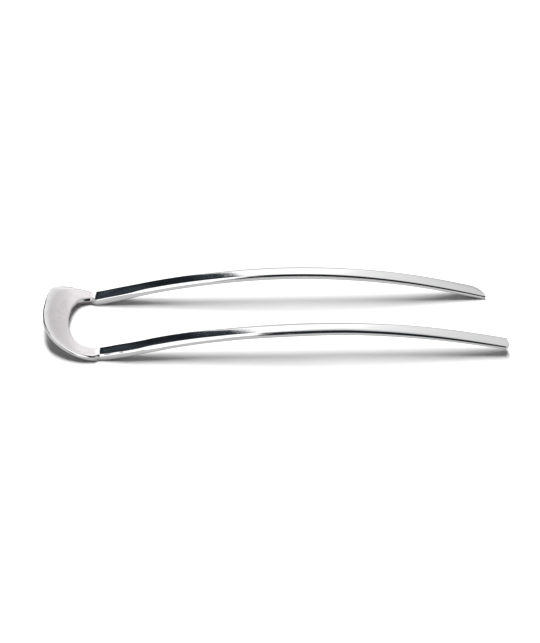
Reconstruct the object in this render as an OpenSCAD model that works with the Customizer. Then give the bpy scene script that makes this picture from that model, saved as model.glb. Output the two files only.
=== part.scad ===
// Two-prong hairpin, forged from one flat silver bar.
// The middle of the bar is beaten out into a thin curved head that lifts off the surface.
// Two flat prongs leave the head at a sharp crease and arch over to blunt tips.
// X runs from the head to the tips and Z up. The pin lies on Z = 0, on its two heels and one tip.

/* [Overall] */
// Length from the end of the head to the tips
length = 130; // [110:1:140]
// Length of the head's top face, from its end to the creases where the prongs start
head_run = 14.5; // [13:0.05:17]
// Distance between the middles of the two prongs, at half their length
prong_spacing = 25; // [23:0.1:27]
// How much closer the prongs stand at the creases and at the tips
spacing_taper = 1.2; // [0:0.1:2]
// How far the front prong bows in towards the back one, at half its length
front_bow = 2.15; // [0:0.05:3]
// How much further out the tip of the front prong stands than the back prong's
front_tip_spread = 0.8; // [0:0.1:1.5]
// How much shorter the front prong is
front_tip_short = 0.5; // [0:0.1:1]

/* [Side view] */
// Height of the top faces at the creases, above the heels that touch the surface
heel_height = 1.9; // [1.7:0.05:2.2]
// Length of the flat under each heel
heel_length = 1; // [0.6:0.1:1.4]
// Rise of the back prong in its arch, above the line from crease to tip
back_arch_rise = 8.3; // [5:0.1:11]
// Rise of the front prong in its arch, which was bent less
front_arch_rise = 6.5; // [5:0.1:11]
// Rise of the head's end above the creases
head_lift = 4; // [3:0.1:7]
// Angle at which the head leaves the creases
head_start_angle = 1.7; // [0:0.1:12]
// How far the tip of the front prong stands off the surface
front_tip_lift = 2; // [0:0.1:3]

/* [Bar] */
// Width of the prongs along most of their length
prong_width = 4.1; // [3.4:0.05:4.6]
// Thickness of the prongs along most of their length
prong_thickness = 1.62; // [1.4:0.02:1.8]
// Thickness of the head at its end, where it is beaten thinnest
head_thickness = 1.2; // [0.9:0.05:1.4]
// Length over which the outer corner of the back prong's tip is rounded away
back_tip_round = 3.8; // [1.5:0.1:5]
// Length over which the outer corner of the front prong's tip is rounded away
front_tip_round = 1.8; // [1:0.1:5]
// Radius of the small inner corner of each tip
tip_inner_radius = 0.6; // [0.3:0.05:1]

/* [Hidden] */

// How far each heel is ground off to its flat
heel_grind = 0.2;

// The first column of each table is the place that its row is for
PLACE = 0;

// Sections along a prong, from 0 at the crease to 1 at the tip. The edges were filed by hand,
// so that each prong has its own distances from its middle line to its two edges, as shares of
// the bar's width, and its own thickness, as a share of the bar's. The bevel along the four
// edges is in mm.
BACK_INNER = 1;
BACK_OUTER = 2;
FRONT_INNER = 3;
FRONT_OUTER = 4;
BACK_THICK = 5;
FRONT_THICK = 6;
BEVEL = 7;
crease_thick = (heel_height + heel_grind) / prong_thickness;
prong_rows = [
    [0.00, 0.500, 0.525, 0.560, 0.270, crease_thick, crease_thick, 0.16],
    [0.04, 0.500, 0.483, 0.520, 0.370, 1.19, 1.19, 0.18],
    [0.08, 0.500, 0.463, 0.476, 0.440, 1.10, 1.10, 0.24],
    [0.13, 0.466, 0.488, 0.537, 0.440, 1.05, 1.05, 0.45],
    [0.18, 0.463, 0.500, 0.554, 0.425, 1.02, 1.02, 0.50],
    [0.30, 0.476, 0.550, 0.520, 0.475, 1.00, 1.00, 0.45],
    [0.45, 0.476, 0.600, 0.490, 0.570, 1.00, 1.00, 0.38],
    [0.60, 0.476, 0.610, 0.500, 0.520, 0.96, 0.94, 0.34],
    [0.80, 0.463, 0.640, 0.530, 0.524, 0.80, 0.78, 0.28],
    [1.00, 0.420, 0.650, 0.532, 0.524, 0.64, 0.60, 0.22],
];

// Outline of the head seen from above, as distances from the point that its arcs turn about.
// The place is an angle: 0 at the head's end, positive towards the back prong and negative
// towards the front one. The head was beaten out by hand, and its back lobe is the fuller one.
// The thickness is a share of the head's own.
OUTER = 1;
INNER = 2;
HEAD_THICK = 3;
head_rows = [
    [-90, 13.55,  9.94, 1.50],
    [-75, 13.70,  9.72, 1.22],
    [-60, 13.72,  8.93, 1.06],
    [-45, 13.72,  7.78, 1.02],
    [-30, 13.48,  6.93, 1.00],
    [-15, 13.08,  6.36, 1.00],
    [  0, 12.80,  6.06, 1.00],
    [ 15, 13.02,  6.12, 1.00],
    [ 30, 13.90,  6.48, 1.00],
    [ 45, 15.40,  7.32, 1.02],
    [ 60, 16.35,  8.42, 1.06],
    [ 75, 15.40,  9.68, 1.22],
    [ 90, 14.15, 10.27, 1.50],
];
head_bevel = 0.2;
head_turn = 90;
head_first_row = head_rows[0];
head_end_row = head_rows[6];
head_last_row = head_rows[12];
crease_row = prong_rows[0];
tip_row = prong_rows[9];

// The outer corner of a tip takes this share of its width, and no bevel takes more than this
// share of the width that is left
back_tip_share = 0.85;
front_tip_share = 0.5;
most_bevel_share = 0.2;

// Rings of the swept bar
prong_rings = 44;
tip_rings = 6;
head_rings = 48;
face_steps = 4;

// The head's edge is square to its lifted top face, so its lower corner reaches out furthest
head_end_slope = 2 * head_lift / head_run - tan(head_start_angle);
apex_x = -length / 2 + (head_thickness - head_bevel) * head_end_slope;
crease_x = apex_x + head_run;
tip_x = length / 2;
prong_length = tip_x - crease_x;
head_centre_x = apex_x + head_end_row[OUTER];
half_spacing = prong_spacing / 2;
crease_half_spacing = half_spacing - spacing_taper / 2;

// Which column of the prongs' table and which size a side of the pin takes: 1 is the back and
// -1 the front
function inner_of(side) = side > 0 ? BACK_INNER : FRONT_INNER;
function outer_of(side) = side > 0 ? BACK_OUTER : FRONT_OUTER;
function thick_of(side) = side > 0 ? BACK_THICK : FRONT_THICK;
function tip_round_of(side) = side > 0 ? back_tip_round : front_tip_round;
function tip_share_of(side) = side > 0 ? back_tip_share : front_tip_share;
function arch_rise_of(side) = side > 0 ? back_arch_rise : front_arch_rise;
function lift_of(side) = side > 0 ? 0 : front_tip_lift;
function tip_x_of(side) = tip_x - (side > 0 ? 0 : front_tip_short);
function tip_height_of(side) = prong_thickness * tip_row[thick_of(side)];

// Smooth value of a column at a place in a table, through the rows on both sides
function row_before(rows, at, i = 0) =
    i >= len(rows) - 2 || rows[i + 1][PLACE] > at ? i : row_before(rows, at, i + 1);
function rate(rows, col, i) =
    let (a = max(i - 1, 0), b = min(i + 1, len(rows) - 1))
    (rows[b][col] - rows[a][col]) / (rows[b][PLACE] - rows[a][PLACE]);
function column_at(rows, col, at) =
    let (
        i = row_before(rows, at),
        step = rows[i + 1][PLACE] - rows[i][PLACE],
        t = (at - rows[i][PLACE]) / step
    )
    rows[i][col] * (1 + 2 * t) * (1 - t) * (1 - t)
    + rate(rows, col, i) * step * t * (1 - t) * (1 - t)
    + rows[i + 1][col] * t * t * (3 - 2 * t)
    - rate(rows, col, i + 1) * step * t * t * (1 - t);

// Side view: height and slope of the top face over the prongs and over the head.
// The prongs' arch is halfway between a sine wave and a parabola.
function prong_share(x) = (x - crease_x) / prong_length;
function arch(u) = (sin(180 * u) + 4 * u * (1 - u)) / 2;
function arch_slope(u) = (PI * cos(180 * u) + 4 - 8 * u) / 2;
function prong_fall(side) = tip_height_of(side) - heel_height;
function prong_z(side, x) =
    let (u = prong_share(x))
    heel_height + prong_fall(side) * u + arch_rise_of(side) * arch(u);
function prong_slope(side, x) =
    let (u = prong_share(x))
    (prong_fall(side) + arch_rise_of(side) * arch_slope(u)) / prong_length;
head_start_slope = tan(head_start_angle);
head_curl = (head_lift - head_start_slope * head_run) / pow(head_run, 2);
function head_z(x) =
    let (d = crease_x - x)
    heel_height + head_start_slope * d + head_curl * d * d;
function head_slope(x) = -head_start_slope - 2 * head_curl * (crease_x - x);
function top_z(side, x) = x > crease_x ? prong_z(side, x) : head_z(x);
function top_slope(side, x) =
    x > crease_x ? prong_slope(side, x)
    : x < crease_x ? head_slope(x)
    : (prong_slope(side, x) + head_slope(x)) / 2;

// One point of a ring: a plan point, carried down by a depth square to the top face, and no
// lower than the surface that the pin lies on
function placed(side, p, depth) =
    [
        p[0] + top_slope(side, p[0]) * depth,
        p[1],
        max(0, top_z(side, p[0]) - depth) + lift_of(side) * max(0, prong_share(p[0]))
    ];

// Plan points and depths around a ring, from the outer edge over the top to the inner edge
// and back underneath
function ring_plan(outer, inner, thick, bevel) =
    let (
        across = inner - outer,
        b = bevel / norm(across),
        over = [for (i = [0:face_steps]) b + (1 - 2 * b) * i / face_steps]
    )
    concat(
        [for (q = over) [outer + across * q, 0]],
        [[inner, bevel], [inner, thick - bevel]],
        [for (i = [face_steps:-1:0]) [outer + across * over[i], thick]],
        [[outer, thick - bevel], [outer, bevel]]
    );

// How far the middle of a prong lies from the pin's own middle line
function prong_middle(side, u) =
    half_spacing - spacing_taper / 2 * pow(2 * u - 1, 2)
    - (side > 0 ? 0 : front_bow * arch(u) - front_tip_spread * u);

// Ring across a prong. At the tip the outer corner is rounded away, and the inner one less.
function corner(from_end, reach, depth) =
    from_end >= reach ? 0 : depth * (1 - sqrt(1 - pow(1 - from_end / reach, 2)));
function prong_ring(side, x) =
    let (
        u = prong_share(x),
        middle = prong_middle(side, u),
        to_outer = prong_width * column_at(prong_rows, outer_of(side), u),
        to_inner = prong_width * column_at(prong_rows, inner_of(side), u),
        thick = prong_thickness * column_at(prong_rows, thick_of(side), u),
        from_end = tip_x_of(side) - x,
        tip_cut = (to_outer + to_inner) * tip_share_of(side),
        outer_y = middle + to_outer - corner(from_end, tip_round_of(side), tip_cut),
        inner_y = middle - to_inner + corner(from_end, tip_inner_radius, tip_inner_radius),
        bevel = min(
            column_at(prong_rows, BEVEL, u),
            (outer_y - inner_y) * most_bevel_share,
            thick * most_bevel_share
        )
    )
    [for (r = ring_plan([x, side * outer_y], [x, side * inner_y], thick, bevel))
        placed(side, r[0], r[1])];

// Ring across the head at an angle, and across the short root between the head and a crease
function head_ring(angle) =
    let (
        way = [-cos(angle), sin(angle)],
        centre = [head_centre_x, 0],
        thick = head_thickness * column_at(head_rows, HEAD_THICK, angle)
    )
    [for (r = ring_plan(
        centre + way * column_at(head_rows, OUTER, angle),
        centre + way * column_at(head_rows, INNER, angle), thick, head_bevel))
        placed(sign(angle), r[0], r[1])];
function root_ring(side, x) =
    let (
        t = (x - head_centre_x) / (crease_x - head_centre_x),
        outer = (side > 0 ? head_last_row : head_first_row)[OUTER],
        inner = (side > 0 ? head_last_row : head_first_row)[INNER],
        crease_outer = crease_half_spacing + prong_width * crease_row[outer_of(side)],
        crease_inner = crease_half_spacing - prong_width * crease_row[inner_of(side)],
        outer_y = outer + (crease_outer - outer) * t,
        inner_y = inner + (crease_inner - inner) * t,
        head_t = head_thickness * head_last_row[HEAD_THICK],
        thick = head_t + (heel_height + heel_grind - head_t) * t
    )
    [for (r = ring_plan([x, side * outer_y], [x, side * inner_y], thick, head_bevel))
        placed(side, r[0], r[1])];

// Places of the rings along a root and along a prong, closer together round the tip
root_places = [head_centre_x + heel_length / 2, crease_x - heel_length / 2, crease_x];
last_root = len(root_places) - 1;
prong_start = crease_x + heel_length / 2;
function prong_places(side) =
    let (reach = tip_x_of(side) - tip_round_of(side) - prong_start)
    concat(
        [for (i = [0:prong_rings - 1]) prong_start + reach * i / prong_rings],
        [for (i = [0:tip_rings]) tip_x_of(side) - tip_round_of(side) * (1 - sin(90 * i / tip_rings))]
    );
back_places = prong_places(1);
front_places = prong_places(-1);
last_place = len(back_places) - 1;

// The whole bar, from the back tip round the head to the front tip
bar_rings = concat(
    [for (i = [last_place:-1:0]) prong_ring(1, back_places[i])],
    [for (i = [last_root:-1:0]) root_ring(1, root_places[i])],
    [for (i = [0:head_rings]) head_ring(head_turn - 2 * head_turn * i / head_rings)],
    [for (i = [0:last_root]) root_ring(-1, root_places[i])],
    [for (i = [0:last_place]) prong_ring(-1, front_places[i])]
);

// Closed solid through a list of rings that all have the same number of points. Each end is
// closed by a fan about the middle of its ring.
function middle_of(ring) =
    [for (axis = [0:2]) let (c = [for (p = ring) p[axis]]) (min(c) + max(c)) / 2];
module swept(rings) {
    around = len(rings[0]);
    last = len(rings) - 1;
    start_middle = len(rings) * around;
    end_middle = start_middle + 1;
    points = concat(
        [for (ring = rings) for (p = ring) p],
        [middle_of(rings[0]), middle_of(rings[last])]
    );
    walls = [for (r = [0:last - 1]) for (k = [0:around - 1])
        let (a = r * around + k, b = r * around + (k + 1) % around)
        each [[a, b, b + around], [a, b + around, a + around]]];
    start_cap = [for (k = [0:around - 1]) [start_middle, (k + 1) % around, k]];
    end_cap = [for (k = [0:around - 1])
        [end_middle, last * around + k, last * around + (k + 1) % around]];
    polyhedron(points, concat(walls, start_cap, end_cap), convexity = 6);
}

module hairpin() {
    color("silver") swept(bar_rings);
}

hairpin();
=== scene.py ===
import math

import bpy
from mathutils import Matrix, Vector


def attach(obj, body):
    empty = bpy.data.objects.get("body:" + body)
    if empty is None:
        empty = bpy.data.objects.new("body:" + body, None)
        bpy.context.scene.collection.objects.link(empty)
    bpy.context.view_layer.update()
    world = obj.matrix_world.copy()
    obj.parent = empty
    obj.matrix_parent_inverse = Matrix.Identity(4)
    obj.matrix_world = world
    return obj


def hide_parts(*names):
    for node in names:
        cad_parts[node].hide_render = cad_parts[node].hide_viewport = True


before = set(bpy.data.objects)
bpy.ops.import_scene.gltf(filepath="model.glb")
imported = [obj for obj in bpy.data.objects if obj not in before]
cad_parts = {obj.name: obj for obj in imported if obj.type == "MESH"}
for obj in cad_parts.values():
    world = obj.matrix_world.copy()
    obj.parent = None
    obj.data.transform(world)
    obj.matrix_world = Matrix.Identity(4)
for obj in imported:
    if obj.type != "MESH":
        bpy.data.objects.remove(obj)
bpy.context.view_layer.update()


# The hairpin is one forged bar of silver. Its middle is beaten out into a thin head that
# curls up from two creases, and its ends are the two arched prongs. All of it is swept in
# one Geometry Nodes tree, ring by ring, from the back tip round the head to the front tip.
class Field:
    """A number that nodes work out at each point, so that a shape is written as a formula."""

    def __init__(self, tree, socket):
        self.tree = tree
        self.socket = socket

    def maths(self, operation, *others):
        node = self.tree.nodes.new("ShaderNodeMath")
        node.operation = operation
        for slot, value in zip(node.inputs, (self, *others)):
            connect(self.tree, value, slot)
        return Field(self.tree, node.outputs[0])

    def __add__(self, other):
        return self.maths("ADD", other)

    def __sub__(self, other):
        return self.maths("SUBTRACT", other)

    def __rsub__(self, other):
        return (-self) + other

    def __mul__(self, other):
        return self.maths("MULTIPLY", other)

    def __truediv__(self, other):
        return self.maths("DIVIDE", other)

    def __neg__(self):
        return self * -1

    __radd__ = __add__
    __rmul__ = __mul__

    def squared(self):
        return self * self

    def root(self):
        return self.maths("SQRT")

    def size(self):
        return self.maths("ABSOLUTE")

    def sine(self):
        return self.maths("SINE")

    def cosine(self):
        return self.maths("COSINE")

    def least(self, other):
        return self.maths("MINIMUM", other)

    def most(self, other):
        return self.maths("MAXIMUM", other)

    def above(self, other):
        return self.maths("GREATER_THAN", other)

    def stretch(self, start, end):
        """From 0 at start to 1 at end, and level outside them."""
        return ((self - start) / (end - start)).most(0).least(1)

    def eased(self, start, end):
        """As stretch, and level at both ends."""
        t = self.stretch(start, end)
        return t * t * (3 - 2 * t)


def connect(tree, value, slot):
    if isinstance(value, Field):
        tree.links.new(value.socket, slot)
    else:
        slot.default_value = value


def mixed(share, low, high):
    return low + share * (high - low)


# The first column of every table is the place that it is read off by
PLACE = 0


def read_off(place, rows, column, handle="AUTO_CLAMPED"):
    """A column of a table, read off at a place between the places in its first column."""
    node = place.tree.nodes.new("ShaderNodeFloatCurve")
    curve = node.mapping.curves[0]
    node.mapping.use_clip = False
    first, last = rows[0][PLACE], rows[-1][PLACE]
    while len(curve.points) < len(rows):
        curve.points.new(0.5, 0.5)
    for point, row in zip(curve.points, rows):
        point.location = ((row[PLACE] - first) / (last - first), row[column])
        point.handle_type = handle
    node.mapping.update()
    connect(place.tree, (place - first) / (last - first), node.inputs["Value"])
    return Field(place.tree, node.outputs[0])


MM = 0.001
DEGREES = 180 / math.pi

# Sizes in metres, save the slopes and the tips' cuts, which are plain ratios
BAR_SIZES = {
    "Length": 0.130,
    "Apex Inset": 0.00053,
    "Head Run": 0.01450,
    "Prong Spacing": 0.025,
    "Spacing Taper": 0.0012,
    "Heel Height": 0.0019,
    "Front Bow": 0.00215,
    "Front Tip Spread": 0.0008,
    "Front Tip Short": 0.0005,
    "Back Arch Rise": 0.0083,
    "Front Arch Rise": 0.0065,
    "Head Lift": 0.0040,
    "Head Start Slope": 0.0297,
    "Front Tip Lift": 0.0020,
    "Prong Width": 0.0041,
    "Prong Thickness": 0.00162,
    "Head Thickness": 0.0012,
    "Back Tip Round": 0.0038,
    "Front Tip Round": 0.0018,
    "End Radius": 0.00012,
    "Low Edge Radius": 0.00018,
    "Least Radius": 0.00003,
    "Far Shoulder": 0.0002,
    "Far Shoulder Depth": 0.00012,
    "Far Flat Slope": 0.42,
    "Far Flat Softness": 0.0001,
    "Rim Shoulder": 0.00040,
    "Rim Shoulder Depth": 0.00038,
    "Prong Crown": 0.00006,
    "Rim Roll": 0.00030,
    "Back Tip Cut": 0.85,
    "Front Tip Cut": 0.5,
    "Back Fold Skew": 0.0009,
    "Front Fold Skew": -0.0003,
    "Front Fold Shift": 0.0004,
    "Fold Radius": 0.00005,
}
# Rings along the whole pin, and faces round each of them
RINGS = 1001
AROUND = 64

# Sections of a prong by their share of its length. The edges were filed by hand: each prong
# has its own distances from its middle line to its two edges, as shares of the bar's width,
# and its own thickness, as a share of the bar's.
BACK_INNER, BACK_OUTER, FRONT_INNER, FRONT_OUTER, BACK_THICK, FRONT_THICK = range(1, 7)
PRONG = [
    (0.00, 0.500, 0.525, 0.560, 0.270, 1.30, 1.30),
    (0.04, 0.500, 0.483, 0.520, 0.370, 1.19, 1.19),
    (0.08, 0.500, 0.463, 0.476, 0.440, 1.10, 1.10),
    (0.13, 0.466, 0.488, 0.537, 0.440, 1.05, 1.05),
    (0.18, 0.463, 0.500, 0.554, 0.425, 1.02, 1.02),
    (0.30, 0.476, 0.550, 0.520, 0.475, 1.00, 1.00),
    (0.45, 0.476, 0.600, 0.490, 0.570, 1.00, 1.00),
    (0.60, 0.476, 0.610, 0.500, 0.520, 0.96, 0.94),
    (0.80, 0.463, 0.640, 0.530, 0.524, 0.80, 0.78),
    (1.00, 0.420, 0.650, 0.532, 0.524, 0.64, 0.60),
]

# The upper edges, by the share of the prong's length and in millimetres. The edge that faces
# the front is rounded into a shoulder, with its own width on each prong; the far edge has a
# narrow filed flat.
BACK_SHOULDER, FRONT_SHOULDER, SHOULDER_DEPTH, FAR_FLAT = range(1, 5)
SHOULDERS = [
    (0.00, 0.30, 0.75, 0.50, 0.30),
    (0.04, 0.22, 0.65, 0.55, 0.30),
    (0.08, 0.30, 0.65, 0.60, 0.35),
    (0.13, 0.85, 1.40, 0.80, 0.40),
    (0.18, 0.85, 1.35, 0.80, 0.45),
    (0.24, 0.80, 1.10, 0.80, 0.70),
    (0.30, 0.72, 0.90, 0.80, 1.15),
    (0.45, 0.62, 1.50, 0.85, 1.30),
    (0.60, 0.58, 1.15, 0.78, 1.10),
    (0.80, 0.50, 0.85, 0.70, 0.40),
    (1.00, 0.40, 0.50, 0.40, 0.20),
]

# Outline of the head by the angle round it, from the front crease to the back one. The
# radii are in millimetres, and the back lobe is beaten out the fuller. The last columns are
# the share of the thickness that is left at the rim, the shares of the rim's roll and of its
# shoulder, and the width of the shoulder round the inner edge.
OUTER, INNER, HEAD_THICK, RIM_THICK, ROLL, RIM_EDGE, INNER_SHOULDER = range(1, 8)
HEAD = [
    (-90, 13.55, 9.94, 1.50, 0.85, 0.50, 1.00, 0.30),
    (-75, 13.70, 9.72, 1.22, 0.68, 0.80, 1.10, 0.25),
    (-60, 13.72, 8.93, 1.06, 0.60, 0.90, 1.15, 0.25),
    (-45, 13.72, 7.78, 1.02, 0.56, 0.90, 1.15, 0.25),
    (-30, 13.48, 6.93, 1.00, 0.54, 0.80, 1.00, 0.25),
    (-15, 13.08, 6.36, 1.00, 0.52, 0.60, 0.75, 0.25),
    (0, 12.80, 6.06, 1.00, 0.50, 0.40, 0.55, 0.25),
    (15, 13.02, 6.12, 1.00, 0.50, 0.40, 0.75, 0.28),
    (30, 13.90, 6.48, 1.00, 0.50, 0.25, 0.40, 0.32),
    (45, 15.40, 7.32, 1.02, 0.50, 0.15, 0.30, 0.40),
    (60, 16.35, 8.42, 1.06, 0.55, 0.10, 0.30, 0.60),
    (75, 15.40, 9.68, 1.22, 0.70, 0.10, 0.30, 0.95),
    (90, 14.15, 10.27, 1.50, 0.90, 0.10, 0.30, 1.20),
]

# A section is a rounded rectangle: four straight runs joined by four quarter turns. The
# rows are its corners in steps of the ring, from the low outer edge up and over the top.
ACROSS, DOWN, TURN = range(1, 4)
SECTION = [
    (0, 0.5, 1, 0),
    (3, 0.5, 0, 0),
    (13, 0.5, 0, 0.25),
    (29, -0.5, 0, 0.25),
    (39, -0.5, 0, 0.5),
    (42, -0.5, 1, 0.5),
    (46, -0.5, 1, 0.75),
    (60, 0.5, 1, 0.75),
    (64, 0.5, 1, 1),
]

# Shares of the rings of one side that go to each stretch of it, from the head to the tip.
# The rings crowd a little at both ends of a prong, and the last one closes the tip.
HEAD_ENDS = 0.22
ROOT_ENDS = 0.26
PRONG_ENDS = 0.93
TIP_ENDS = 0.985
END_TURN_ENDS = 1 - 1.5 / RINGS
CLOSED_FROM = 1 - 1 / RINGS
CROWDING = 0.13

# The widest shoulder as a share of the width, the depth of the head's inner shoulder as a
# share of its own width, and the angle over which the back lobe takes up the far edge's flat
SHOULDER_LIMIT = 0.35
INNER_DEPTH = 0.8
LOBE_FLAT = (50, 72)

# Distance from a crease over which its skew fades out, and the mean radius of the head by
# which the finish counts its length
SKEW_FADE = (0.001, 0.008)
HEAD_RADIUS = 0.0105

# Shares of the width, from the middle, over which the head's inner wall (painted shade) and its
# rim strip (painted highlight) begin
INNER_WALL = (-0.49, -0.5)
PAINTED_HIGHLIGHT_BAND = (0.24, 0.42)

# Points of the seam and of the closed tips lie closer together than this
SEAM = 0.000001


def arch(u):
    """Height of a prong's arch: halfway between a sine wave and a parabola."""
    return ((u * math.pi).sine() + 4 * u * (1 - u)) * 0.5


def bar_tree(silver):
    tree = bpy.data.node_groups.new("forged_bar", "GeometryNodeTree")
    tree.interface.new_socket("Geometry", in_out="OUTPUT", socket_type="NodeSocketGeometry")
    for name, value in BAR_SIZES.items():
        socket = tree.interface.new_socket(name, in_out="INPUT", socket_type="NodeSocketFloat")
        socket.default_value = value
    socket = tree.interface.new_socket("Silver", in_out="INPUT", socket_type="NodeSocketMaterial")
    socket.default_value = silver
    inputs = tree.nodes.new("NodeGroupInput")

    def given(name):
        return Field(tree, inputs.outputs[name])

    def given_side(name):
        return mixed(back, given("Front " + name), given("Back " + name))

    def side_read_off(rows, front_column, back_column):
        return mixed(
            back, read_off(share, rows, front_column), read_off(share, rows, back_column)
        )

    grid = tree.nodes.new("GeometryNodeMeshGrid")
    grid.inputs["Size X"].default_value = 2
    grid.inputs["Size Y"].default_value = 1
    grid.inputs["Vertices X"].default_value = RINGS
    grid.inputs["Vertices Y"].default_value = AROUND + 1
    position = tree.nodes.new("GeometryNodeInputPosition")
    parts = tree.nodes.new("ShaderNodeSeparateXYZ")
    tree.links.new(position.outputs[0], parts.inputs[0])
    way = Field(tree, parts.outputs["X"])
    step = (Field(tree, parts.outputs["Y"]) + 0.5) * AROUND
    side = -way.maths("SIGN")
    back = side.above(0)
    front = 1 - back
    spot = way.size()

    # Where the ring is: its angle round the head, then its run along the prong
    apex_x = given("Length") * -0.5 + given("Apex Inset")
    crease_x = apex_x + given("Head Run")
    centre_x = apex_x + HEAD[len(HEAD) // 2][OUTER] * MM
    tip_x = given("Length") * 0.5
    prong_length = tip_x - crease_x
    side_length = prong_length - front * given("Front Tip Short")
    root_length = crease_x - centre_x
    tip_round = given_side("Tip Round")
    end_radius = given("End Radius")
    turn = spot.stretch(0, HEAD_ENDS) * (math.pi / 2)
    along_root = spot.stretch(HEAD_ENDS, ROOT_ENDS)
    along_prong = spot.stretch(ROOT_ENDS, PRONG_ENDS)
    evened = along_prong - CROWDING * (along_prong * (2 * math.pi)).sine()
    along_tip = (spot.stretch(PRONG_ENDS, TIP_ENDS) * (math.pi / 2)).sine()
    end_turn = spot.stretch(TIP_ENDS, END_TURN_ENDS) * (math.pi / 2)
    closed = spot.above(CLOSED_FROM)
    run = (
        root_length * along_root
        + (side_length - tip_round) * evened
        + (tip_round - end_radius) * along_tip
        + end_radius * end_turn.sine()
    )
    inset = end_radius * (1 - end_turn.cosine())

    # How wide and thick the bar is there, and how far its middle lies from the axis
    share = ((run - root_length) / prong_length).most(0).least(1)
    degrees = turn * side * DEGREES
    outer = read_off(degrees, HEAD, OUTER) * MM
    inner = read_off(degrees, HEAD, INNER) * MM
    on_prong = along_root.eased(0, 1)
    bow = given("Spacing Taper") * 0.5 * (2 * share - 1).squared()
    front_bow = given("Front Bow") * arch(share) - given("Front Tip Spread") * share
    bow = bow + front * front_bow
    to_outer = given("Prong Width") * side_read_off(PRONG, FRONT_OUTER, BACK_OUTER)
    to_inner = given("Prong Width") * side_read_off(PRONG, FRONT_INNER, BACK_INNER)
    prong_middle = given("Prong Spacing") * 0.5 - bow + (to_outer - to_inner) * 0.5
    middle = mixed(on_prong, (outer + inner) * 0.5, prong_middle)
    width = mixed(on_prong, outer - inner, to_outer + to_inner)
    prong_thick = given("Prong Thickness") * side_read_off(PRONG, FRONT_THICK, BACK_THICK)
    head_thick = given("Head Thickness") * read_off(degrees, HEAD, HEAD_THICK)
    thick = mixed(along_root, head_thick, prong_thick)

    # The upper edges: wide shoulders at the front of the prongs and round the head's rim
    outward = read_off(step, SECTION, ACROSS, "VECTOR") + 0.5
    far = mixed(back, 1 - outward, outward)
    near_shoulder = side_read_off(SHOULDERS, FRONT_SHOULDER, BACK_SHOULDER) * MM
    near_depth = read_off(share, SHOULDERS, SHOULDER_DEPTH) * MM
    inner_shoulder = read_off(degrees, HEAD, INNER_SHOULDER) * MM
    rim_edge = read_off(degrees, HEAD, RIM_EDGE)
    shoulder = mixed(
        on_prong,
        mixed(outward, inner_shoulder, given("Rim Shoulder") * rim_edge),
        mixed(far, near_shoulder, given("Far Shoulder")),
    )
    shoulder_depth = mixed(
        on_prong,
        mixed(outward, inner_shoulder * INNER_DEPTH, given("Rim Shoulder Depth") * rim_edge),
        mixed(far, near_depth, given("Far Shoulder Depth")),
    )

    # The outer corner of a tip is rounded away
    from_end = (side_length + root_length - run).most(end_radius)
    bite = 1 - (from_end / tip_round).least(1)
    cut = width * given_side("Tip Cut") * (1 - (1 - bite.squared()).root())
    width = width - cut
    middle = middle - cut * 0.5

    # Place on the section: a point of the rounded rectangle
    least_radius = given("Least Radius")
    shoulder = (shoulder - inset).least(width * SHOULDER_LIMIT).most(least_radius)
    shoulder_depth = (shoulder_depth - inset).most(least_radius)
    low_radius = (given("Low Edge Radius") - inset).most(least_radius)
    flat_width = width - 2 * inset
    rim_thick = mixed(on_prong, read_off(degrees, HEAD, RIM_THICK), 1)
    flat_thick = thick * mixed(outward, 1, rim_thick) - 2 * inset
    down = read_off(step, SECTION, DOWN, "VECTOR")
    facing = read_off(step, SECTION, TURN, "VECTOR") * (2 * math.pi)
    radius = mixed(down, shoulder, low_radius)
    radius_down = mixed(down, shoulder_depth, low_radius)
    across = (outward - 0.5) * flat_width + mixed(outward, radius, -radius)
    across = (across + radius * facing.cosine()) * (1 - closed)
    cross_share = across / width
    depth = shoulder_depth + down * (flat_thick - shoulder_depth - low_radius)
    depth = depth - radius_down * facing.sine()
    depth = mixed(closed, depth + inset, thick * 0.5)
    bulge = (2 * cross_share).squared()
    roll = (2 * cross_share).most(0).squared()
    rolled = given("Rim Roll") * read_off(degrees, HEAD, ROLL) * roll * roll
    far_flat = read_off(share, SHOULDERS, FAR_FLAT) * MM + (1 - on_prong) * given("Rim Shoulder")
    flat_start = width * 0.5 - far_flat
    to_far = mixed(back, -1, 1) * across - flat_start
    soft = (to_far.squared() + given("Far Flat Softness").squared()).root()
    filed = given("Far Flat Slope") * (to_far + soft) * 0.5
    crown = mixed(on_prong, rolled, given("Prong Crown") * bulge)
    crown = crown + filed * mixed(on_prong, degrees.eased(*LOBE_FLAT), 1)

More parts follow.
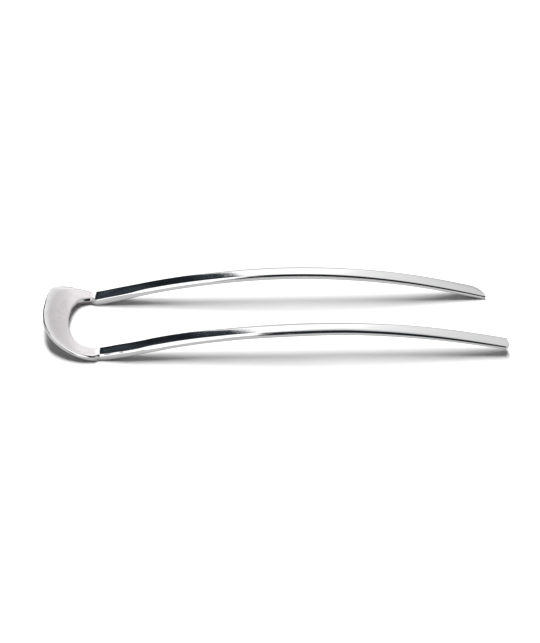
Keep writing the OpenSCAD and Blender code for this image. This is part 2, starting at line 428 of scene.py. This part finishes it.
    # Plan point, then the height of the top face over it
    x = centre_x + run - (middle + across) * turn.cosine()
    y = side * (middle + across) * turn.sine()
    near_fold = (x - crease_x).size()
    skew = given_side("Fold Skew") * cross_share + given("Front Fold Shift") * front
    ahead = x - skew * (1 - near_fold.eased(*SKEW_FADE)) - crease_x
    u = ahead / prong_length
    tip_share = mixed(back, PRONG[-1][FRONT_THICK], PRONG[-1][BACK_THICK])
    tip_height = given("Prong Thickness") * tip_share
    fall = tip_height - given("Heel Height")
    rise = given_side("Arch Rise")
    prong_z = given("Heel Height") + fall * u + rise * arch(u)
    arch_slope = (math.pi * (u * math.pi).cosine() + 4 - 8 * u) * 0.5
    prong_slope = (fall + rise * arch_slope) / prong_length
    start_slope = given("Head Start Slope")
    head_run = given("Head Run")
    curl = (given("Head Lift") - start_slope * head_run) / head_run.squared()
    behind = -ahead
    curled = behind.most(0)
    head_z = given("Heel Height") + start_slope * behind + curl * curled.squared()
    head_slope = -start_slope - 2 * curl * curled
    half_gap = (prong_z - head_z) * 0.5
    softened = (half_gap.squared() + given("Fold Radius").squared()).root()
    top_z = (prong_z + head_z) * 0.5 + softened
    top_slope = (prong_slope + head_slope) * 0.5
    top_slope = top_slope + (prong_slope - head_slope) * 0.5 * half_gap / softened
    lift = given("Front Tip Lift") * front * share
    deep = depth + crown
    z = (top_z - deep).most(0) + lift
    x = x + top_slope * deep

    # What the finish reads: the bar laid out straight, its corners, the beaten head, its inner
    # wall darkened with painted shade, and its outer rim strip lightened with a painted highlight
    along = side * (turn * HEAD_RADIUS + run)
    straight = tree.nodes.new("ShaderNodeCombineXYZ")
    for value, slot in zip((along, across, deep), straight.inputs):
        connect(tree, value, slot)
    corner = (facing * 4).cosine() * -0.5 + 0.5
    beaten = 1 - on_prong
    # Painted shade: a mask for the head's inner wall. Its colour is darkened to stand in for the
    # shadowed floor that it mirrors
    inner_wall = cross_share.stretch(*INNER_WALL) * beaten
    # Painted highlight: a mask for the head's outer rim strip. Its colour is lightened to stand in
    # for the glint along the rim
    painted_rim_highlight = cross_share.eased(*PAINTED_HIGHLIGHT_BAND) * beaten
    marks = (
        ("straight_bar", "FLOAT_VECTOR", straight.outputs[0]),
        ("corner", "FLOAT", corner.socket),
        ("beaten", "FLOAT", beaten.socket),
        ("inner_wall", "FLOAT", inner_wall.socket),
        ("painted_rim_highlight", "FLOAT", painted_rim_highlight.socket),
    )
    marked = grid.outputs["Mesh"]
    for name, kind, value in marks:
        store = tree.nodes.new("GeometryNodeStoreNamedAttribute")
        store.data_type = kind
        store.domain = "POINT"
        store.inputs["Name"].default_value = name
        tree.links.new(marked, store.inputs["Geometry"])
        tree.links.new(value, store.inputs["Value"])
        marked = store.outputs["Geometry"]

    point = tree.nodes.new("ShaderNodeCombineXYZ")
    for value, slot in zip((x, y, z), point.inputs):
        connect(tree, value, slot)
    shape = tree.nodes.new("GeometryNodeSetPosition")
    tree.links.new(marked, shape.inputs["Geometry"])
    tree.links.new(point.outputs[0], shape.inputs["Position"])

    # Seam and ends closed
    weld = tree.nodes.new("GeometryNodeMergeByDistance")
    weld.inputs["Distance"].default_value = SEAM
    smooth = tree.nodes.new("GeometryNodeSetShadeSmooth")
    realize = tree.nodes.new("GeometryNodeRealizeInstances")
    dress = tree.nodes.new("GeometryNodeSetMaterial")
    output = tree.nodes.new("NodeGroupOutput")
    tree.links.new(inputs.outputs["Silver"], dress.inputs["Material"])
    chain = [shape, weld, smooth, realize, dress, output]
    for before, after in zip(chain, chain[1:]):
        tree.links.new(before.outputs[0], after.inputs[0])
    return tree


def plain_mesh(name, tree):
    """The tree's result as a plain object at the origin, with no modifier left."""
    maker = bpy.data.objects.new(name + "_maker", bpy.data.meshes.new(name + "_start"))
    bpy.context.collection.objects.link(maker)
    modifier = maker.modifiers.new("shape", "NODES")
    modifier.node_group = tree
    for item in tree.interface.items_tree:
        if item.in_out == "INPUT":
            modifier[item.identifier] = item.default_value
    seen = maker.evaluated_get(bpy.context.evaluated_depsgraph_get())
    mesh = bpy.data.meshes.new_from_object(seen)
    bpy.data.objects.remove(maker)
    mesh.name = name
    piece = bpy.data.objects.new(name, mesh)
    bpy.context.collection.objects.link(piece)
    return piece


def effect_group(name, sizes, result, build):
    """A reusable effect: its inputs are a vector and named sizes, and its output is a value."""
    group = bpy.data.node_groups.new(name, "ShaderNodeTree")
    group.interface.new_socket("Vector", in_out="INPUT", socket_type="NodeSocketVector")
    for size, value in sizes.items():
        socket = group.interface.new_socket(size, in_out="INPUT", socket_type="NodeSocketFloat")
        socket.default_value = value
    group.interface.new_socket(result, in_out="OUTPUT", socket_type="NodeSocketFloat")
    inputs = group.nodes.new("NodeGroupInput")
    output = group.nodes.new("NodeGroupOutput")
    given = {size: Field(group, inputs.outputs[size]) for size in sizes}
    connect(group, build(group, inputs.outputs["Vector"], given), output.inputs[0])
    return group


def stretched(group, vector, sizes):
    """The vector with each of its parts counted in its own size."""
    parts = group.nodes.new("ShaderNodeSeparateXYZ")
    group.links.new(vector, parts.inputs[0])
    joined = group.nodes.new("ShaderNodeCombineXYZ")
    for part, size, slot in zip(parts.outputs, sizes, joined.inputs):
        connect(group, Field(group, part) / size, slot)
    return joined.outputs[0]


def noise(group, vector, detail, roughness=0.5, scale=1):
    node = group.nodes.new("ShaderNodeTexNoise")
    group.links.new(vector, node.inputs["Vector"])
    node.inputs["Scale"].default_value = scale
    node.inputs["Detail"].default_value = detail
    node.inputs["Roughness"].default_value = roughness
    return Field(group, node.outputs[0])


def drawn_lines(group, vector, given):
    """Fine lines left lengthwise by the polishing cloth."""
    sizes = (given["Length"], given["Width"], given["Width"])
    return noise(group, stretched(group, vector, sizes), 3, 0.6)


def soft_dents(group, vector, given):
    """The low swells that the planishing hammer leaves."""
    sizes = (given["Size"], given["Size"], given["Size"])
    return noise(group, stretched(group, vector, sizes), 1)


PATCH_SHARE = 0.4
PATCH_EDGE = (0.52, 0.62)


def hair_scratches(group, vector, given):
    """Thin broken scratches: the level lines of a stretched noise, kept only in patches."""
    sizes = (given["Length"], given["Spacing"], given["Spacing"])
    field = noise(group, stretched(group, vector, sizes), 2)
    line = 1 - ((field - 0.5).size() / given["Fineness"]).least(1)
    patch_size = given["Length"] * PATCH_SHARE
    patch = noise(group, stretched(group, vector, (patch_size, patch_size, patch_size)), 0)
    return line * patch.eased(*PATCH_EDGE)


def placed(material, group, vector, sizes):
    node = material.node_tree.nodes.new("ShaderNodeGroup")
    node.node_tree = group
    material.node_tree.links.new(vector, node.inputs["Vector"])
    for size, value in sizes.items():
        node.inputs[size].default_value = value
    return Field(material.node_tree, node.outputs[0])


# The silver is polished on the prongs and a darker satin on the head. The head's inner wall is
# darkened with painted shade and its rim strip lightened with a painted highlight. The reliefs are
# in metres.
POLISHED_TONE = (0.95, 0.945, 0.945)
SATIN_TONE = (0.72, 0.69, 0.695)
# Painted shade: the dark tone put on the head's inner wall in place of the shadowed floor that it
# mirrors
PAINTED_SHADE_TONE = (0.20, 0.185, 0.18)
POLISHED_ROUGHNESS = 0.07
SATIN_ROUGHNESS = 0.18
CORNER_ROUGHNESS = 0.06
SMUDGE_ROUGHNESS = 0.08
SCRATCH_ROUGHNESS = 0.1
PRONG_SWELL = 0.000012
HEAD_SWELL = 0.00008
FACE_LINE = 0.0000065
CORNER_LINE = 0.000002
SCRATCH_DEPTH = 0.000002
CORNER_BURNISH = 0.7
# Painted highlight: how far the head's rim strip is lightened towards the polished tone
PAINTED_HIGHLIGHT_SHARE = 0.8
SMUDGE_DARK = 0.25
# Painted shade: how far the inner wall is mixed towards its dark tone
PAINTED_SHADE_SHARE = 0.85


def silver_material():
    material = bpy.data.materials.new("hand_polished_silver")
    material.use_nodes = True
    tree = material.node_tree
    shader = tree.nodes["Principled BSDF"]
    shader.inputs["Metallic"].default_value = 1

    def stored(name, output):
        node = tree.nodes.new("ShaderNodeAttribute")
        node.attribute_name = name
        return node.outputs[output]

    bar = stored("straight_bar", "Vector")
    corner, beaten, inner_wall, painted_rim_highlight = (
        Field(tree, stored(name, "Fac")) for name in ("corner", "beaten", "inner_wall", "painted_rim_highlight")
    )
    lines = effect_group("drawn_lines", {"Length": 0.02, "Width": 0.0002}, "Height", drawn_lines)
    dents = effect_group("soft_dents", {"Size": 0.005}, "Height", soft_dents)
    scratches = effect_group(
        "hair_scratches",
        {"Length": 0.01, "Spacing": 0.001, "Fineness": 0.02},
        "Height",
        hair_scratches,
    )
    brushed = placed(material, lines, bar, {"Length": 0.018, "Width": 0.00016})
    swells = placed(material, dents, bar, {"Size": 0.0045})
    scratched = placed(material, scratches, bar, {"Length": 0.012, "Spacing": 0.0009})
    clouded = placed(material, dents, bar, {"Size": 0.0021})
    wiped = placed(material, lines, bar, {"Length": 0.012, "Width": 0.0007})

    height = swells * mixed(beaten, PRONG_SWELL, HEAD_SWELL)
    height = height + brushed * mixed(corner, FACE_LINE, CORNER_LINE)
    height = height - scratched * SCRATCH_DEPTH
    bump = tree.nodes.new("ShaderNodeBump")
    bump.inputs["Distance"].default_value = 1
    connect(tree, height, bump.inputs["Height"])
    tree.links.new(bump.outputs[0], shader.inputs["Normal"])

    # Corners are burnished brighter than the head's beaten satin face, and its rim strip is
    # lightened as a painted highlight
    smudged = mixed(beaten, wiped, clouded) - 0.5
    roughness = mixed(beaten, POLISHED_ROUGHNESS, SATIN_ROUGHNESS)
    roughness = roughness + smudged * SMUDGE_ROUGHNESS + scratched * SCRATCH_ROUGHNESS
    connect(tree, mixed(corner, roughness, CORNER_ROUGHNESS), shader.inputs["Roughness"])
    colour = tree.nodes.new("ShaderNodeCombineColor")
    tones = zip(colour.inputs, POLISHED_TONE, SATIN_TONE, PAINTED_SHADE_TONE)
    # Painted highlight: the rim strip is lightened along with the burnished corners
    bright = (corner * CORNER_BURNISH).most(painted_rim_highlight * PAINTED_HIGHLIGHT_SHARE)
    for slot, polished, satin, painted_shade in tones:
        tone = mixed(beaten * (1 - bright), polished, satin)
        tone = tone * (1 - smudged.most(0) * (1 - corner) * SMUDGE_DARK)
        # Painted shade on the head's inner wall
        connect(tree, mixed(inner_wall * PAINTED_SHADE_SHARE, tone, painted_shade), slot)
    tree.links.new(colour.outputs[0], shader.inputs["Base Color"])
    return material


silver = silver_material()
pin = plain_mesh("forged_pin", bar_tree(silver))
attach(pin, "root")
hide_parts("hairpin")


# The surface that the pin lies on is a plain white sheet, which the metal mirrors as grey.
# The studio round it is a white tent with grey ends and with openings on a dark room, to the
# left of the backdrop and behind the camera, and a soft lamp hangs above and behind the pin.
SHEET_WHITE = 0.86
MIRRORED_GREY = 0.33


def white_floor():
    bpy.ops.mesh.primitive_plane_add(size=6)
    floor = bpy.context.object
    floor.name = "floor"
    material = bpy.data.materials.new("white_sheet")
    material.use_nodes = True
    shader = material.node_tree.nodes["Principled BSDF"]
    shader.inputs["Roughness"].default_value = 0.9
    shader.inputs["Specular IOR Level"].default_value = 0
    path = material.node_tree.nodes.new("ShaderNodeLightPath")
    glossy = Field(material.node_tree, path.outputs["Is Glossy Ray"])
    grey = mixed(glossy, SHEET_WHITE, MIRRORED_GREY)
    connect(material.node_tree, grey, shader.inputs["Base Color"])
    floor.data.materials.append(material)


# Brightness ahead of the camera by the bearing in degrees, from the left to the right
BRIGHTNESS = 1
BACKDROP = [
    (-180, 1.25),
    (20, 1.20),
    (25, 0.93),
    (30, 0.83),
    (35, 0.75),
    (45, 0.66),
    (60, 0.55),
    (180, 0.50),
]
# Share of it that is left by the height in degrees: the tent is greyer low down
HAZE = 1
TENT = [
    (-90, 0.34),
    (0, 0.36),
    (12, 0.44),
    (18, 0.80),
    (24, 0.94),
    (36, 1.00),
    (90, 1.00),
]
# Brightness of the dark room by the bearing, where it shows past the left edge of the white
ROOM = [
    (-180, 1.0),
    (-60, 1.0),
    (-40, 2.6),
    (-16, 2.6),
    (-12, 1.0),
    (-6, 1.0),
    (-3, 2.0),
    (2, 2.0),
    (20, 1.0),
    (180, 1.0),
]
DARK_TINT = (0.015, 0.018, 0.022)
ROOM_SCALE = 34
ROOM_LEVEL = 0.36
ROOM_CONTRAST = 7

# The left edge of the backdrop's white: its bearing at a height in degrees, how far it leans
# with each degree of height, and how far below and above that height it goes on leaning
EDGE_BEARING = 1.3
EDGE_HEIGHT = 36
EDGE_LEAN = 0.25
LEANS_BELOW = -2
LEANS_ABOVE = 16
EDGE_BLUR = 0.5

# Where each part of the tent begins and where it is full, along x, y or z of a direction of
# length one. Overhead the backdrop ends at one y left of the split and at another right of
# it, and past it hangs the white panel. The grey walls stand at both ends, the left one
# reaching further in.
SPLIT_X = (0.06, 0.04)
LEFT_OVERHEAD_Y = (0.3, 0.22)
RIGHT_OVERHEAD_Y = (0, -0.08)
PANEL_LEFT_X = (-0.36, -0.32)
PANEL_RIGHT_X = (0.07, 0.04)
PANEL_FOOT_Z = (-0.04, 0.05)
END_WALLS_X = (0.7, 0.78)
LEFT_WALL_X = (-0.46, -0.52)
LEFT_WALL_Y = (0.45, 0.35)
WALL_FOOT_Z = (0, 0.1)
PANEL_WHITE = 1.2
WALL_GREY = 0.6

# Light that the sky throws on dull surfaces, and the white that the camera sees past the sheet
SKY_FILL = 0.155
SEEN_WHITE = 1


def studio_world():
    world = bpy.data.worlds.new("studio")
    bpy.context.scene.world = world
    world.use_nodes = True
    tree = world.node_tree
    coordinates = tree.nodes.new("ShaderNodeTexCoord")
    parts = tree.nodes.new("ShaderNodeSeparateXYZ")
    tree.links.new(coordinates.outputs["Generated"], parts.inputs[0])
    x, y, z = (Field(tree, socket) for socket in parts.outputs)
    bearing = x.maths("ARCTAN2", y) * DEGREES
    height = z.maths("ARCSINE") * DEGREES
    # Ahead: dark to the left of a slanting edge, then white, then greyer to the right
    leaning = (height - EDGE_HEIGHT).least(LEANS_ABOVE).most(LEANS_BELOW)
    edge = leaning * EDGE_LEAN + EDGE_BEARING
    white = (bearing - edge).eased(-EDGE_BLUR, EDGE_BLUR)
    ahead = white * read_off(height, TENT, HAZE) * read_off(bearing, BACKDROP, BRIGHTNESS)
    # Behind the camera and overhead: one white panel at the left, and dark round it
    panel = x.eased(*PANEL_LEFT_X) * x.eased(*PANEL_RIGHT_X) * z.eased(*PANEL_FOOT_Z)
    overhead = mixed(x.eased(*SPLIT_X), y.eased(*RIGHT_OVERHEAD_Y), y.eased(*LEFT_OVERHEAD_Y))
    mirror = mixed(overhead, ahead, panel * PANEL_WHITE)
    # Grey walls at both ends of the tent, which show mostly from other sides
    left_wall = x.eased(*LEFT_WALL_X) * y.eased(*LEFT_WALL_Y)
    walls = x.size().eased(*END_WALLS_X).most(left_wall) * z.eased(*WALL_FOOT_Z)
    mirror = mirror.most(walls * WALL_GREY)
    # The dark room beyond the openings, with dim shapes in it
    room = noise(tree, coordinates.outputs["Generated"], 2, scale=ROOM_SCALE)
    dim = (room - ROOM_LEVEL).most(0) * ROOM_CONTRAST * read_off(bearing, ROOM, BRIGHTNESS)
    path = tree.nodes.new("ShaderNodeLightPath")
    glossy = Field(tree, path.outputs["Is Glossy Ray"])
    camera = Field(tree, path.outputs["Is Camera Ray"])
    colour = tree.nodes.new("ShaderNodeCombineColor")
    for slot, tint in zip(colour.inputs, DARK_TINT):
        shade = mixed(glossy, SKY_FILL, mirror + dim * tint)
        connect(tree, mixed(camera, shade, SEEN_WHITE), slot)
    tree.links.new(colour.outputs[0], tree.nodes["Background"].inputs["Color"])


def softbox():
    light = bpy.data.lights.new("softbox", "AREA")
    light.shape = "RECTANGLE"
    light.size = 0.3
    light.size_y = 0.95
    light.energy = 18.8
    lamp = bpy.data.objects.new("softbox", light)
    lamp.location = (-0.1, 0.38, 0.90)
    lamp.rotation_euler = lamp.location.to_track_quat("Z", "Y").to_euler()
    lamp.visible_glossy = False
    bpy.context.collection.objects.link(lamp)


def photo_camera():
    """Looks down on the pin from the front at 40 degrees, a little from its head's end."""
    elevation, azimuth, roll = (math.radians(v) for v in (40, 13.65, 7.90))
    distance = 0.3291
    aim = Vector((-0.00170, 0.00177, 0))
    focal_pixels, frame_height = 1163, 643
    level = math.cos(elevation)
    ahead = Vector((math.sin(azimuth) * level, math.cos(azimuth) * level, -math.sin(elevation)))
    right = Vector((math.cos(azimuth), -math.sin(azimuth), 0))
    up = right.cross(ahead)
    rolled_right = math.cos(roll) * right + math.sin(roll) * up
    rolled_up = math.cos(roll) * up - math.sin(roll) * right
    lens = bpy.data.cameras.new("camera")
    lens.sensor_fit = "VERTICAL"
    lens.sensor_height = 24
    lens.lens = lens.sensor_height * focal_pixels / frame_height
    lens.clip_start = 0.01
    camera = bpy.data.objects.new("camera", lens)
    turned = Matrix((rolled_right, rolled_up, -ahead)).transposed().to_4x4()
    camera.matrix_world = Matrix.Translation(aim - distance * ahead) @ turned
    bpy.context.collection.objects.link(camera)
    bpy.context.scene.camera = camera


white_floor()
studio_world()
softbox()
photo_camera()
bpy.context.scene.view_settings.view_transform = "Standard"
